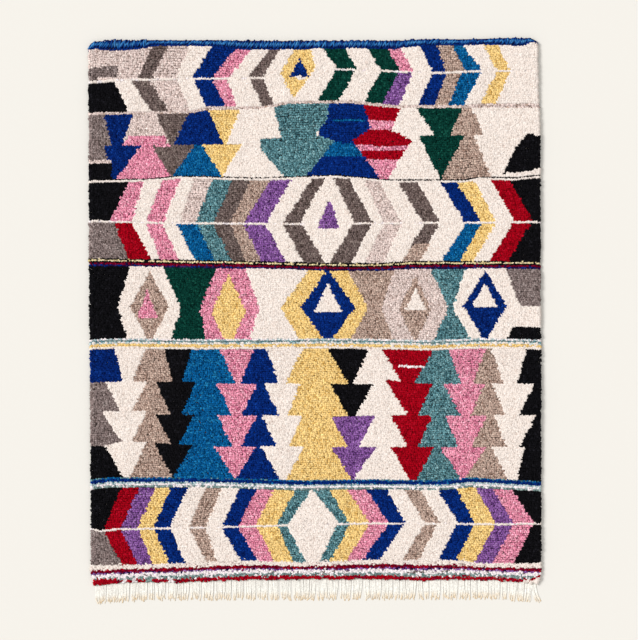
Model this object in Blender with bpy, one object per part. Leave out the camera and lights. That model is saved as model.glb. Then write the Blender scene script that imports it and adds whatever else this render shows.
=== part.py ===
"""A knotted wool rug: a ground weave with a lumpy pile, and a warp fringe at one end.

It lies flat on the floor with its pile up. Its width runs along X and its length along Y, with
the fringe at -Y. The origin is on the floor under the middle of its box. Sizes are in metres.
"""

import random
from collections import namedtuple

import bmesh
import bpy
from mathutils import Vector, noise

PILE_WIDTH = 2.000
PILE_LENGTH = 2.404
THICKNESS = 0.018
FRINGE_LENGTH = 0.090

# The top of the slab is a grid that follows the lines between the woven bands. The pile dips
# towards each line over the trough share of the band beside it, and has two sizes of lump.
COLUMNS = 46
TROUGH_SHARE = 0.35
LUMP_SIZE = 0.110
LUMP_HEIGHT = 0.0028
SMALL_LUMP_SHARE = 0.5

# Each line runs across the rug. Its share is its place along the pile, from the fringe (0) to
# the blue edging (1), its trough is how far the pile dips there, its rows are the grid's rows
# up to the next line, and its drift is how far it strays at nine even stations, left to right.
BandLine = namedtuple("BandLine", "name share trough rows drift")
BAND_LINES = (
    BandLine("fringe root", 0.000, 0.000, 2,
             (-0.018, -0.004, 0.000, 0.000, 0.000, 0.000, 0.002, 0.002, -0.011)),
    BandLine("top of the end stripes", 0.030, 0.003, 8,
             (-0.009, -0.004, -0.009, -0.004, 0.000, 0.004, 0.009, 0.009, 0.009)),
    BandLine("low chevrons to trees", 0.179, 0.004, 13,
             (-0.005, 0.008, 0.008, 0.001, -0.003, 0.001, -0.005, 0.004, -0.001)),
    BandLine("trees to lozenges", 0.438, 0.004, 7,
             (0.002, 0.000, -0.002, 0.001, 0.003, 0.000, -0.002, 0.001, 0.002)),
    BandLine("lozenges to middle chevrons", 0.584, 0.004, 8,
             (0.009, 0.009, 0.000, -0.004, -0.009, -0.009, -0.002, -0.002, 0.002)),
    BandLine("middle chevrons to triangles", 0.745, 0.002, 8,
             (-0.016, -0.004, 0.002, -0.002, 0.011, 0.000, -0.002, 0.002, 0.011)),
    BandLine("triangles to high chevrons", 0.874, 0.002, 6,
             (-0.033, -0.029, -0.013, 0.007, 0.024, 0.018, 0.007, 0.002, 0.011)),
    BandLine("foot of the blue edging", 0.986, 0.004, 1,
             (-0.009, 0.000, 0.007, -0.009, -0.004, -0.004, 0.009, 0.009, 0.009)),
    BandLine("top end", 1.000, 0.000, 0,
             (-0.004, 0.000, 0.000, 0.000, 0.000, 0.000, 0.002, 0.004, 0.000)),
)

# How far each side stands out from the straight, at a share of the pile's length.
SideDrift = namedtuple("SideDrift", "share left right")
SIDE_DRIFTS = (
    SideDrift(0.00, -0.011, 0.004),
    SideDrift(0.33, -0.005, 0.004),
    SideDrift(0.60, 0.000, 0.001),
    SideDrift(0.80, 0.001, 0.000),
    SideDrift(0.92, 0.003, -0.009),
    SideDrift(1.00, 0.004, -0.013),
)
# The blue edging's two ends bend down and round the corners.
LEFT_END_DROP = 0.022
RIGHT_END_DROP = 0.010

# The rim is upright from the floor, then rounds over to the grid's own edge.
GRID_INSET = 0.015
RimRing = namedtuple("RimRing", "inset height")
RIM_RINGS = (
    RimRing(0.0050, 0.0150),
    RimRing(0.0000, 0.0100),
    RimRing(0.0000, 0.0000),
)

# Locks of pile hang over the rim, one from each of its upright faces.
LOCK_BORDER = 0.0016
LOCK_WIDTH_SHARE = 0.55
LOCK_TIP_SHARE = 0.55
LOCK_REACH = (0.004, 0.009)
LOCK_SWAY = 0.003
LOCK_SEED = 7

# Two strands leave each column of the strip, between these shares of the column's width.
STRIP_GAP = 0.0003
STRIP_DEPTH = 0.007
STRIP_HEIGHT = 0.0038
STRAND_SHARES = ((0.06, 0.44), (0.56, 0.94))
STRAND_SHORTEST = 0.90
STRAND_SEED = 11
StrandStep = namedtuple("StrandStep", "share width height sway")
STRAND_STEPS = (
    StrandStep(0.40, 0.88, 0.0042, 0.0006),
    StrandStep(0.75, 0.70, 0.0036, 0.0022),
    StrandStep(1.00, 0.42, 0.0024, 0.0042),
)

WOOL_CREAM = (0.89, 0.80, 0.73, 1.0)
WOOL_BLUE = (0.01, 0.08, 0.30, 1.0)
WOOL_RED = (0.38, 0.01, 0.03, 1.0)
WARP_CREAM = (0.87, 0.83, 0.76, 1.0)
WOOL_ROUGHNESS = 0.92
CREASE_ANGLE = 0.7


def clear_scene():
    for old in list(bpy.data.objects):
        bpy.data.objects.remove(old, do_unlink=True)


def wool_material(name, colour):
    material = bpy.data.materials.new(name)
    material.use_nodes = True
    shader = material.node_tree.nodes["Principled BSDF"]
    shader.inputs["Base Color"].default_value = colour
    shader.inputs["Roughness"].default_value = WOOL_ROUGHNESS
    shader.inputs["Metallic"].default_value = 0.0
    return material


def eased(low, high, share):
    """A value between two others, with no corner at either end."""
    return low + (high - low) * share * share * (3 - 2 * share)


def line_height(line, across, inset):
    """A band line's place along the rug at a share of the width, with the two ends drawn in."""
    place = across * (len(line.drift) - 1)
    station = min(int(place), len(line.drift) - 2)
    along = line.share * PILE_LENGTH
    along += eased(line.drift[station], line.drift[station + 1], place - station)
    if line is BAND_LINES[0]:
        along += inset
    if line is BAND_LINES[-1]:
        along -= inset
        along -= LEFT_END_DROP * max(0.0, 1 - across * COLUMNS)
        along -= RIGHT_END_DROP * max(0.0, 1 - (1 - across) * COLUMNS)
    return along


def sides_at(along):
    """The x of the left and right sides at a height along the pile."""
    share = min(max(along / PILE_LENGTH, 0.0), 1.0)
    for low, high in zip(SIDE_DRIFTS, SIDE_DRIFTS[1:]):
        if share <= high.share:
            break
    part = (share - low.share) / (high.share - low.share)
    left = -PILE_WIDTH / 2 - eased(low.left, high.left, part)
    right = PILE_WIDTH / 2 + eased(low.right, high.right, part)
    return left, right


def grid_rows():
    """(lower line, upper line, share between them) for each row of the grid, from the fringe up."""
    rows = []
    for lower, upper in zip(BAND_LINES, BAND_LINES[1:]):
        rows += [(lower, upper, step / lower.rows) for step in range(lower.rows)]
    rows.append((BAND_LINES[-2], BAND_LINES[-1], 1.0))
    return rows


def place_on_rug(column, row, inset):
    """The plan position of a grid point, drawn in from the rug's outline by an inset."""
    lower, upper, part = row
    across = column / COLUMNS
    low = line_height(lower, across, inset)
    high = line_height(upper, across, inset)
    along = low + (high - low) * part
    left, right = sides_at(along)
    return left + inset + (right - left - 2 * inset) * across, along


def pile_height(x, y, row):
    """The pile's height, lower towards the twined lines between the bands, with soft lumps."""
    lower, upper, part = row
    trough = lower.trough * max(0.0, 1 - part / TROUGH_SHARE)
    trough += upper.trough * max(0.0, 1 - (1 - part) / TROUGH_SHARE)
    large = noise.noise(Vector((x, y, 0)) / LUMP_SIZE)
    small = noise.noise(Vector((y, x, 1)) / (LUMP_SIZE * SMALL_LUMP_SHARE))
    return THICKNESS - trough + LUMP_HEIGHT * (large + SMALL_LUMP_SHARE * small)


def walk_round(last_row):
    """(column, row) of the grid's edge points, once round from the fringe's left end."""
    walk = [(column, 0) for column in range(COLUMNS)]
    walk += [(COLUMNS, row) for row in range(last_row)]
    walk += [(column, last_row) for column in range(COLUMNS, 0, -1)]
    walk += [(0, row) for row in range(last_row, 0, -1)]
    return walk


def add_pile_top(bm, rows):
    """The lumpy top, a grid whose end rows take the colours of the edging and the end stripes."""
    grid = []
    for row in rows:
        line = []
        for column in range(COLUMNS + 1):
            x, y = place_on_rug(column, row, GRID_INSET)
            line.append(bm.verts.new((x, y, pile_height(x, y, row))))
        grid.append(line)
    for row, low, high in zip(rows, grid, grid[1:]):
        for column in range(COLUMNS):
            face = bm.faces.new((low[column], low[column + 1], high[column + 1], high[column]))
            if row[1] is BAND_LINES[-1]:
                face.material_index = 1
            elif row[0] is BAND_LINES[0]:
                face.material_index = 2
    return grid


def add_rim_lock(bm, face, draws):
    """One lock of pile that hangs over the edge, pulled out of an upright face of the rim."""
    bmesh.ops.inset_individual(bm, faces=[face], thickness=LOCK_BORDER, depth=0)
    centre = face.calc_center_median()
    outward = face.normal.copy()
    along_rim = outward.cross(Vector((0, 0, 1))).normalized()
    for vert in face.verts:
        vert.co += along_rim * (vert.co - centre).dot(along_rim) * (LOCK_WIDTH_SHARE - 1)
    tip = bmesh.ops.extrude_discrete_faces(bm, faces=[face])["faces"][0]
    away = outward * draws.uniform(*LOCK_REACH) + along_rim * draws.uniform(-LOCK_SWAY, LOCK_SWAY)
    for vert in tip.verts:
        vert.co = centre + (vert.co - centre) * LOCK_TIP_SHARE + away


def make_rug():
    """The rug's slab: ground weave and pile in one solid, with locks of pile over its rim."""
    rows = grid_rows()
    bm = bmesh.new()
    grid = add_pile_top(bm, rows)
    walk = walk_round(len(rows) - 1)
    upper = [grid[row][column] for column, row in walk]
    for ring in RIM_RINGS:
        lower = []
        for column, row in walk:
            x, y = place_on_rug(column, rows[row], ring.inset)
            lower.append(bm.verts.new((x, y, ring.height)))
        upright = []
        for here in range(len(walk)):
            after = (here + 1) % len(walk)
            upright.append(bm.faces.new((upper[here], lower[here], lower[after], upper[after])))
        upper = lower
    bm.faces.new(reversed(lower))
    bm.normal_update()

    # The first faces of the walk are beside the fringe's strip, and have no locks.
    draws = random.Random(LOCK_SEED)
    for face in upright[COLUMNS:]:
        add_rim_lock(bm, face, draws)
    return solid_object("rug", bm, [
        wool_material("wool_pile", WOOL_CREAM),
        wool_material("wool_edging", WOOL_BLUE),
        wool_material("wool_stripes", WOOL_RED),
    ])


def pull_strand(bm, face, draws):
    """One strand of warp, drawn out of a face of the strip and laid along the floor."""
    length = (FRINGE_LENGTH - STRIP_DEPTH) * draws.uniform(STRAND_SHORTEST, 1)
    lean = draws.uniform(-1, 1)
    root = face.calc_center_median()
    widths = [vert.co.x - root.x for vert in face.verts]
    on_floor = [vert.co.z < root.z for vert in face.verts]
    for step in STRAND_STEPS:
        face = bmesh.ops.extrude_discrete_faces(bm, faces=[face])["faces"][0]
        for vert, width, floor in zip(face.verts, widths, on_floor):
            vert.co.x = root.x + width * step.width + lean * step.sway
            vert.co.y = root.y - length * step.share
            vert.co.z = 0.0 if floor else step.height


def make_fringe():
    """The warp ends: strands fused at their roots into a narrow strip beside the slab's end."""
    row = grid_rows()[0]
    end = [place_on_rug(column, row, 0.0) for column in range(COLUMNS + 1)]
    shares = [0.0] + [share for strand in STRAND_SHARES for share in strand]
    bm = bmesh.new()

    def pair(x, y):
        """A point on the floor and the one over it on the strip's top."""
        return bm.verts.new((x, y, 0.0)), bm.verts.new((x, y, STRIP_HEIGHT))

    back = [pair(x, y - STRIP_GAP) for x, y in end]
    front = []
    for (x0, y0), (x1, y1) in zip(end, end[1:]):
        for share in shares:
            across = x0 + (x1 - x0) * share
            along = y0 + (y1 - y0) * share
            front.append(pair(across, along - STRIP_GAP - STRIP_DEPTH))
    front.append(pair(end[-1][0], end[-1][1] - STRIP_GAP - STRIP_DEPTH))

    strand_faces = []
    for column in range(COLUMNS):
        left, right = back[column], back[column + 1]
        near = front[column * len(shares):(column + 1) * len(shares) + 1]
        bm.faces.new([top for _, top in near] + [right[1], left[1]])
        bm.faces.new([left[0], right[0]] + [floor for floor, _ in reversed(near)])
        bm.faces.new((left[0], left[1], right[1], right[0]))
        for number, (here, after) in enumerate(zip(near, near[1:])):
            face = bm.faces.new((here[0], after[0], after[1], here[1]))
            if number % 2:
                strand_faces.append(face)
    for first, second in ((back[0], front[0]), (front[-1], back[-1])):
        bm.faces.new((first[0], second[0], second[1], first[1]))
    bm.normal_update()

    draws = random.Random(STRAND_SEED)
    for face in strand_faces:
        pull_strand(bm, face, draws)
    return solid_object("fringe", bm, [wool_material("wool_warp", WARP_CREAM)])


def solid_object(name, bm, materials):
    """The finished mesh as a named object, shaded smooth over its soft lumps."""
    mesh = bpy.data.meshes.new(name)
    bm.to_mesh(mesh)
    bm.free()
    for material in materials:
        mesh.materials.append(material)
    mesh.shade_smooth()
    mesh.set_sharp_from_angle(angle=CREASE_ANGLE)
    piece = bpy.data.objects.new(name, mesh)
    bpy.context.scene.collection.objects.link(piece)
    return piece


def stand_over_origin(pieces):
    """Puts the middle of the whole rug's box over the origin."""
    points = [vert.co for piece in pieces for vert in piece.data.vertices]
    middle_x = (min(p.x for p in points) + max(p.x for p in points)) / 2
    middle_y = (min(p.y for p in points) + max(p.y for p in points)) / 2
    for piece in pieces:
        piece.location = (-middle_x, -middle_y, 0.0)


clear_scene()
stand_over_origin([make_rug(), make_fringe()])
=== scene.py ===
"""A hand-knotted High Atlas wool rug, laid flat on a pale floor and seen from straight above.

The pile is six bands of chevrons, stacked triangles, lozenges and trees, parted by thin lines.
"""

import math
from collections import namedtuple

import bpy
import numpy as np
from mathutils import Matrix, Vector
from mathutils.bvhtree import BVHTree


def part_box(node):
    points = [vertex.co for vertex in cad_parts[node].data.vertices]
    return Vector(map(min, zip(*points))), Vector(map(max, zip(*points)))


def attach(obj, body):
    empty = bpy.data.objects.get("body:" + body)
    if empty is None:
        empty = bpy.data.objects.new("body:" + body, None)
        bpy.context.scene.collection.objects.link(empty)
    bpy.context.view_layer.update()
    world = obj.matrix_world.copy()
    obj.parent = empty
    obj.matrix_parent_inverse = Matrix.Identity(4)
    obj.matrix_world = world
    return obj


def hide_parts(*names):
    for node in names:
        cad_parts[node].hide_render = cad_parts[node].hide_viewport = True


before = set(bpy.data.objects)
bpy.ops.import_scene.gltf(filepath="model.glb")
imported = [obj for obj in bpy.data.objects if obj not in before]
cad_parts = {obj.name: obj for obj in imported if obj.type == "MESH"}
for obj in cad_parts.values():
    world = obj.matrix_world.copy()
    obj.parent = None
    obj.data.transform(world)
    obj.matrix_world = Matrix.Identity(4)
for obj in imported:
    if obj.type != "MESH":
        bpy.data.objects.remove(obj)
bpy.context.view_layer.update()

# Camera
# The photo is taken from straight above through a long lens, with the fringe at its foot.
# 450 of its pixels are the rug's two metres, and places on the rug are read off it in pixels.
PHOTO_HEIGHT = 640
PHOTO_MIDDLE = (319, 320)
PILE_WIDTH = 2.000
PILE_PIXELS = 450
PIXEL = PILE_WIDTH / PILE_PIXELS
RUG_MIDDLE_PIXEL = 315
FRINGE_ROOT_PIXEL = 580.5
# From the fringe's left to the middle of the pile, and from the rug's lowest corner to its foot.
FRINGE_LEFT_REACH = 0.989
CORNER_DROP = 0.018
LENS_MM = 100
SENSOR_MM = 36

rug_low, rug_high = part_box("rug")
fringe_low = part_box("fringe")[0]
middle_x = fringe_low.x + FRINGE_LEFT_REACH
root_y = rug_low.y + CORNER_DROP


def across(pixel):
    """The place across the rug, in metres, of a pixel counted from the photo's left."""
    return middle_x + (pixel - RUG_MIDDLE_PIXEL) * PIXEL


def along(pixel):
    """The place along the rug, in metres, of a pixel counted down from the photo's top."""
    return root_y + (FRINGE_ROOT_PIXEL - pixel) * PIXEL


camera_data = bpy.data.cameras.new("camera")
camera_data.lens = LENS_MM
camera_data.sensor_width = SENSOR_MM
camera = bpy.data.objects.new("camera", camera_data)
camera.location = (across(PHOTO_MIDDLE[0]), along(PHOTO_MIDDLE[1]),
                   PHOTO_HEIGHT * PIXEL * LENS_MM / SENSOR_MM + rug_high.z / 2)
bpy.context.scene.collection.objects.link(camera)
bpy.context.scene.camera = camera

# Floor and light
# A plain pale studio floor under even light, with one broad soft source up to the left, so that
# the rug's only shadow is a narrow soft one along its right side.
FLOOR_REACH = 14.0
FLOOR_COLOUR = (0.715, 0.689, 0.639)
FLOOR_ROUGHNESS = 0.8
SKY_STRENGTH = 0.76
SUN_STRENGTH = 2.755
SUN_ANGLE = math.radians(22)
SUN_TURN = (math.radians(0), math.radians(-52), math.radians(-20))


class Wire:
    """An output socket of a node tree. Sums and products of wires add Math nodes to the tree."""

    def __init__(self, tree, socket):
        self.tree = tree
        self.socket = socket

    @classmethod
    def node(cls, tree, kind, settings, sockets, output=0):
        """Adds a node, sets it up, then fills its sockets with plain values or with wires."""
        made = tree.nodes.new(kind)
        for name, value in settings.items():
            setattr(made, name, value)
        for name, value in sockets.items():
            if isinstance(value, Wire):
                tree.links.new(value.socket, made.inputs[name])
            else:
                made.inputs[name].default_value = value
        return cls(tree, made.outputs[output])

    def maths(self, operation, first, second):
        return Wire.node(self.tree, "ShaderNodeMath", {"operation": operation},
                         {0: first, 1: second})

    def __add__(self, other):
        return self.maths("ADD", self, other)

    def __radd__(self, other):
        return self.maths("ADD", other, self)

    def __sub__(self, other):
        return self.maths("SUBTRACT", self, other)

    def __rsub__(self, other):
        return self.maths("SUBTRACT", other, self)

    def __mul__(self, other):
        return self.maths("MULTIPLY", self, other)

    def __rmul__(self, other):
        return self.maths("MULTIPLY", other, self)


def plain_material(name, colour, roughness):
    """A new material, its node tree and its shader."""
    material = bpy.data.materials.new(name)
    material.use_nodes = True
    shader = material.node_tree.nodes["Principled BSDF"]
    shader.inputs["Base Color"].default_value = (*colour, 1)
    shader.inputs["Roughness"].default_value = roughness
    shader.inputs["Specular IOR Level"].default_value = 0.2
    return material, material.node_tree, shader


floor_mesh = bpy.data.meshes.new("floor")
floor_mesh.from_pydata(
    [(-FLOOR_REACH, -FLOOR_REACH, 0), (FLOOR_REACH, -FLOOR_REACH, 0),
     (FLOOR_REACH, FLOOR_REACH, 0), (-FLOOR_REACH, FLOOR_REACH, 0)], [], [(0, 1, 2, 3)])
floor_mesh.materials.append(plain_material("floor", FLOOR_COLOUR, FLOOR_ROUGHNESS)[0])
floor = bpy.data.objects.new("floor", floor_mesh)
bpy.context.scene.collection.objects.link(floor)

world = bpy.data.worlds.new("studio")
world.use_nodes = True
world.node_tree.nodes["Background"].inputs["Strength"].default_value = SKY_STRENGTH
world.node_tree.nodes["Background"].inputs["Color"].default_value = (1, 1, 1, 1)
bpy.context.scene.world = world
bpy.context.scene.view_settings.view_transform = "Standard"

sun_data = bpy.data.lights.new("soft_source", "SUN")
sun_data.energy = SUN_STRENGTH
sun_data.angle = SUN_ANGLE
sun = bpy.data.objects.new("soft_source", sun_data)
sun.rotation_euler = SUN_TURN
bpy.context.scene.collection.objects.link(sun)

# Ground weave
# The cloth that the rug is built on, of undyed wool warps and wefts beaten down hard. It lies
# flat on the floor, and every knot of the pile is tied round its warps.
WEAVE_UNDERSIDE = 0.0003
WEAVE_TOP = 0.0033
WEAVE_INSET = 0.004
WEAVE_COLUMNS = 40
WEAVE_ROWS = 48
WEAVE_COLOUR = (0.72, 0.64, 0.54)
WEAVE_PITCH = 0.0045

cad_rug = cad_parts["rug"]
rug_solid = BVHTree.FromPolygons([v.co.copy() for v in cad_rug.data.vertices],
                                 [tuple(p.vertices) for p in cad_rug.data.polygons])
SIDE_RAY_HEIGHT = 0.0006
FAR = 2.0
# Shares of the way to the middle at which the solid's top is looked for, the nearest first.
DRAW_INS = (0.0, 0.004, 0.008, 0.012, 0.018, 0.024)
# The sides are looked for between these pixels down them, clear of the rounded corners.
SIDES_FROM = 58
SIDES_TO = 576
WEAVE_LEFT = 95
WEAVE_RIGHT = 535
WEAVE_SIDES_FROM = 60
WEAVE_SIDES_TO = 575
WEAVE_FUZZ_SCALE = 400.0


def side_at(y, way):
    """The x of the rug's left (way 1) or right (way -1) side at a height along it."""
    start = Vector((-way * FAR, y, SIDE_RAY_HEIGHT))
    return rug_solid.ray_cast(start, Vector((way, 0, 0)))[0].x


def end_at(x, way):
    """The y of the rug's lower (way 1) or upper (way -1) end at a place across it."""
    start = Vector((x, -way * FAR, SIDE_RAY_HEIGHT))
    return rug_solid.ray_cast(start, Vector((0, way, 0)))[0].y


def pile_top(x, y):
    """The height of the solid's top over a place, or beside it for a place just outside."""
    for draw_in in DRAW_INS:
        place = Vector((x * (1 - draw_in), y * (1 - draw_in), FAR))
        hit = rug_solid.ray_cast(place, Vector((0, 0, -1)))[0]
        if hit is not None:
            return hit.z
    return None


def link_piece(name, mesh):
    piece = bpy.data.objects.new(name, mesh)
    bpy.context.scene.collection.objects.link(piece)
    return piece


def weave_mesh():
    """A closed sheet that keeps to the solid's outline, a little inside it."""
    sides = (across(WEAVE_LEFT), across(WEAVE_RIGHT))
    points, places = [], []
    for row in range(WEAVE_ROWS + 1):
        for column in range(WEAVE_COLUMNS + 1):
            share = column / WEAVE_COLUMNS
            x = sides[0] + (sides[1] - sides[0]) * share
            low = end_at(x, 1) + WEAVE_INSET
            high = end_at(x, -1) - WEAVE_INSET
            y = low + (high - low) * row / WEAVE_ROWS
            inner = min(max(y, along(WEAVE_SIDES_TO)), along(WEAVE_SIDES_FROM))
            left = side_at(inner, 1) + WEAVE_INSET
            right = side_at(inner, -1) - WEAVE_INSET
            points.append((left + (right - left) * share, y))
            places.append((share, row / WEAVE_ROWS))
    count = len(points)
    verts = [(x, y, WEAVE_TOP) for x, y in points] + [(x, y, WEAVE_UNDERSIDE) for x, y in points]
    wide = WEAVE_COLUMNS + 1
    faces = []
    for row in range(WEAVE_ROWS):
        for column in range(WEAVE_COLUMNS):
            corner = row * wide + column
            quad = (corner, corner + 1, corner + wide + 1, corner + wide)
            faces.append(quad)
            faces.append(tuple(count + v for v in reversed(quad)))
    rim = [column for column in range(WEAVE_COLUMNS)]
    rim += [row * wide + WEAVE_COLUMNS for row in range(WEAVE_ROWS)]
    rim += [WEAVE_ROWS * wide + column for column in range(WEAVE_COLUMNS, 0, -1)]
    rim += [row * wide for row in range(WEAVE_ROWS, 0, -1)]
    for here, after in zip(rim, rim[1:] + rim[:1]):
        faces.append((here, count + here, count + after, after))
    mesh = bpy.data.meshes.new("ground_weave")
    mesh.from_pydata(verts, [], faces)
    return mesh


def weave_material():
    """Beaten wefts over warps, drawn by two waves that pass over and under each other, with shade
    painted in where the yarns dip under.
    """
    material, tree, shader = plain_material("weave_wool", WEAVE_COLOUR, 0.95)
    place = Wire.node(tree, "ShaderNodeTexCoord", {}, {}, "Object")
    x = Wire.node(tree, "ShaderNodeSeparateXYZ", {}, {0: place})
    y = Wire(tree, x.socket.node.outputs[1])
    turn = 2 * math.pi / WEAVE_PITCH
    over = x.maths("SINE", x * turn, 0) * y.maths("SINE", y * turn, 0)
    fuzz = Wire.node(tree, "ShaderNodeTexNoise", {}, {"Vector": place, "Scale": WEAVE_FUZZ_SCALE})
    # Painted shade: the tone is darker where the waves dip, as in the weave's hollows; the fuzz is
    # the wool's own uneven tone.
    tone = 0.78 + over * 0.14 + fuzz * 0.22
    colour = Wire.node(tree, "ShaderNodeVectorMath", {"operation": "SCALE"},
                       {0: WEAVE_COLOUR, "Scale": tone})
    tree.links.new(colour.socket, shader.inputs["Base Color"])
    bump = Wire.node(tree, "ShaderNodeBump", {},
                     {"Strength": 0.6, "Distance": 0.001, "Height": over + fuzz})
    tree.links.new(bump.socket, shader.inputs["Normal"])
    return material


ground = link_piece("ground_weave", weave_mesh())
ground.data.materials.append(weave_material())

# End stripes
# The first rows of pile over the fringe, worked in dark red, purple, white, grey-green and red.
# Each is a row or two of wool knots, tied round the warps, beaten down and trimmed.
KNOT_ACROSS = 0.00862
KNOT_ROW_PIXELS = 1.96
KNOT_COLUMNS = round(PILE_WIDTH / KNOT_ACROSS)
KNOT_GIRTH = 0.0114
LINE_ROW_PIXELS = 1.55
LINE_DROP = 0.0015
LINE_COLUMNS = round(KNOT_COLUMNS * 1.2)
PILE_LEAN = -0.60
SIDE_PILE_LEAN = -0.36
LEAN_STRAY = 0.28
# A leaning knot shows its back, so its tip lies this far below the place that it colours.
CROWN_LEAD = 0.0050
HIGHEST_STRAY = 0.0006
LOWEST_STRAY = -0.0012
TONE_STRAY = 0.05
TONE_REACH = (0.25, 0.85)
BRIGHTEST = 0.97
# Painted shade: how dark a knot's colour is made down at its root, where the knots crowd together.
PAINTED_ROOT_SHADE = 0.8
FLECK_CONTRAST = 2.4
WOOL_FUZZ_SCALE = 180.0
# How far a knot strays across and along its row, in shares of a row and of a knot.
ROW_STRAY = 0.22
KNOT_STRAY = 0.26
# A knot's girth, and how much is added to it where the yarn stands evenly.
THINNEST = 0.93
THICKEST = 1.12
FULLER = 0.48
SIDE_LEAN = 0.55
SIDE_COLUMNS = 2
ROW_LEFT = 92
ROW_RIGHT = 538
# The outermost knots stand as tall as the pile this far in from them.
SIDE_FULL_REACH = 0.008
# Pixels down the photo, and how many the outermost knots reach past the solid's side there.
LEFT_OVERHANG = ((46, 0.9), (500, 1.1), (540, 1.4), (560, 1.8), (573, 1.6), (583, -1.2))
RIGHT_OVERHANG = ((570, 0.3), (576, -0.6), (583, -2.8))
KNOT_TURN = 1.57
KNOT_SHORTEST = 0.004

# A knot is a tuft with a root, a belly and a cut end, at shares of its height and girth.
KnotRing = namedtuple("KnotRing", "height reach breadth map_reach")
KNOT_RINGS = (KnotRing(0.76, 0.74, 0.74, 0.46), KnotRing(1.00, 0.52, 0.28, 0.22))
ROOT_MAP_REACH = 0.5
KNOT_SIDES = 4

# The yarns, as sRGB. They were read, then corrected so that patches of the render have the
# mean tone of the photo's: the usual tone, a darker one and a lighter one, the shares of the
# knots that take each of those two, how much light is left down at the root, how unevenly the
# knots stand, and how strongly the fibres of one knot differ.
# The root column sets how much of the painted shade down at a knot's root it is spared: 1 paints
# none.
Yarn = namedtuple("Yarn", "usual dark light darker lighter root loose fleck")
YARNS = {
    "cream": Yarn((225, 213, 204), (208, 192, 182), (231, 221, 214), 0.08, 0.15, 1.0, 0.22, 0.2),
    "white": Yarn((229, 219, 219), (200, 188, 190), (238, 232, 234), 0.14, 0.25, 0.90, 0.6, 0.5),
    "light beige": Yarn((217, 197, 190), (164, 142, 133), (230, 214, 206),
                        0.16, 0.22, 0.58, 0.8, 0.9),
    "tan": Yarn((186, 160, 146), (130, 100, 86), (208, 184, 168), 0.22, 0.22, 0.42, 1.0, 1.1),
    "taupe": Yarn((113, 97, 93), (72, 58, 53), (142, 127, 120), 0.22, 0.20, 0.42, 0.9, 0.9),
    "grey": Yarn((133, 117, 114), (86, 72, 68), (166, 151, 147), 0.22, 0.23, 0.42, 0.9, 0.8),
    "black": Yarn((15, 14, 17), (6, 6, 8), (28, 27, 32), 0.20, 0.12, 0.60, 0.8, 0.8),
    "navy": Yarn((5, 40, 113), (3, 20, 74), (14, 58, 142), 0.20, 0.15, 0.50, 0.8, 0.8),
    "royal": Yarn((5, 37, 106), (3, 18, 70), (18, 60, 142), 0.20, 0.15, 0.50, 0.8, 0.8),
    "blue": Yarn((8, 90, 146), (0, 58, 104), (34, 126, 174), 0.20, 0.20, 0.46, 1.0, 1.0),
    "teal": Yarn((94, 138, 145), (40, 78, 88), (132, 170, 174), 0.26, 0.24, 0.30, 1.0, 1.6),
    "sea green": Yarn((120, 142, 138), (82, 104, 104), (170, 186, 182),
                      0.30, 0.25, 0.60, 0.8, 0.8),
    "green": Yarn((7, 57, 48), (0, 34, 30), (22, 82, 68), 0.22, 0.14, 0.50, 0.8, 0.9),
    "pink": Yarn((228, 146, 169), (186, 92, 124), (244, 182, 198), 0.22, 0.22, 0.46, 1.0, 1.2),
    "red": Yarn((157, 2, 22), (120, 0, 12), (178, 14, 38), 0.22, 0.16, 0.58, 0.8, 0.6),
    "wine": Yarn((116, 0, 32), (78, 0, 22), (148, 16, 56), 0.28, 0.18, 0.60, 0.8, 0.6),
    "purple": Yarn((136, 89, 156), (80, 42, 102), (168, 124, 184), 0.24, 0.20, 0.40, 1.0, 1.1),
    "plum": Yarn((34, 14, 66), (18, 6, 38), (72, 46, 112), 0.28, 0.18, 0.60, 0.8, 0.8),
    "yellow": Yarn((238, 203, 132), (202, 158, 80), (246, 214, 148), 0.20, 0.15, 0.55, 0.8, 0.8),
    "straw": Yarn((228, 210, 160), (188, 166, 112), (242, 228, 192), 0.25, 0.25, 0.65, 0.8, 0.8),
    "pale teal": Yarn((178, 194, 196), (122, 150, 158), (216, 224, 222),
                      0.28, 0.25, 0.65, 0.8, 0.8),
}
YARN_NAMES = list(YARNS)


def linear(colour):
    """A colour read as sRGB, from 0 to 255, as the light that a shader works in."""
    share = np.asarray(colour, float) / 255
    return np.where(share <= 0.04045, share / 12.92, ((share + 0.055) / 1.055) ** 2.4)


def line(*stations):
    """A line across the rug in photo pixels, through (x, y) stations from left to right."""
    xs, ys = zip(*stations)
    return lambda x: np.interp(x, xs, ys)


def beside(base, drop):
    """A line that runs a number of pixels below another."""
    return lambda x: base(x) + drop


draws = np.random.default_rng(5)
Knots = namedtuple("Knots", "x y yarn drop")


def row_pixels(y_left, y_right, columns):
    """Where the knots of one row stand across the rug, in photo pixels, a little unevenly."""
    left_y, right_y = (min(max(along(y), along(SIDES_TO)), along(SIDES_FROM))
                       for y in (y_left, y_right))
    left_more = np.interp(y_left, *zip(*LEFT_OVERHANG))
    right_more = np.interp(y_right, *zip(*RIGHT_OVERHANG))
    left = RUG_MIDDLE_PIXEL + (side_at(left_y, 1) - middle_x) / PIXEL - left_more
    right = RUG_MIDDLE_PIXEL + (side_at(right_y, -1) - middle_x) / PIXEL + right_more
    step = (right - left) / columns
    stray = draws.uniform(-KNOT_STRAY, KNOT_STRAY, columns)
    share = np.arange(columns) + 0.5
    inner = np.minimum(share, columns - share) > SIDE_COLUMNS
    shift = draws.uniform(-0.5, 0.5)
    return left + step * (share + np.where(inner, stray + shift, stray))


def rows_between(top, foot, count, columns=KNOT_COLUMNS):
    """(row's share of the way down, x and y in pixels) for rows that follow two lines."""
    for number in range(count):
        share = (number + 0.5) / count
        ends = [top(x) + (foot(x) - top(x)) * share for x in (ROW_LEFT, ROW_RIGHT)]
        x = row_pixels(*ends, columns)
        y = top(x) + (foot(x) - top(x)) * share
        yield share, x, y


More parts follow.
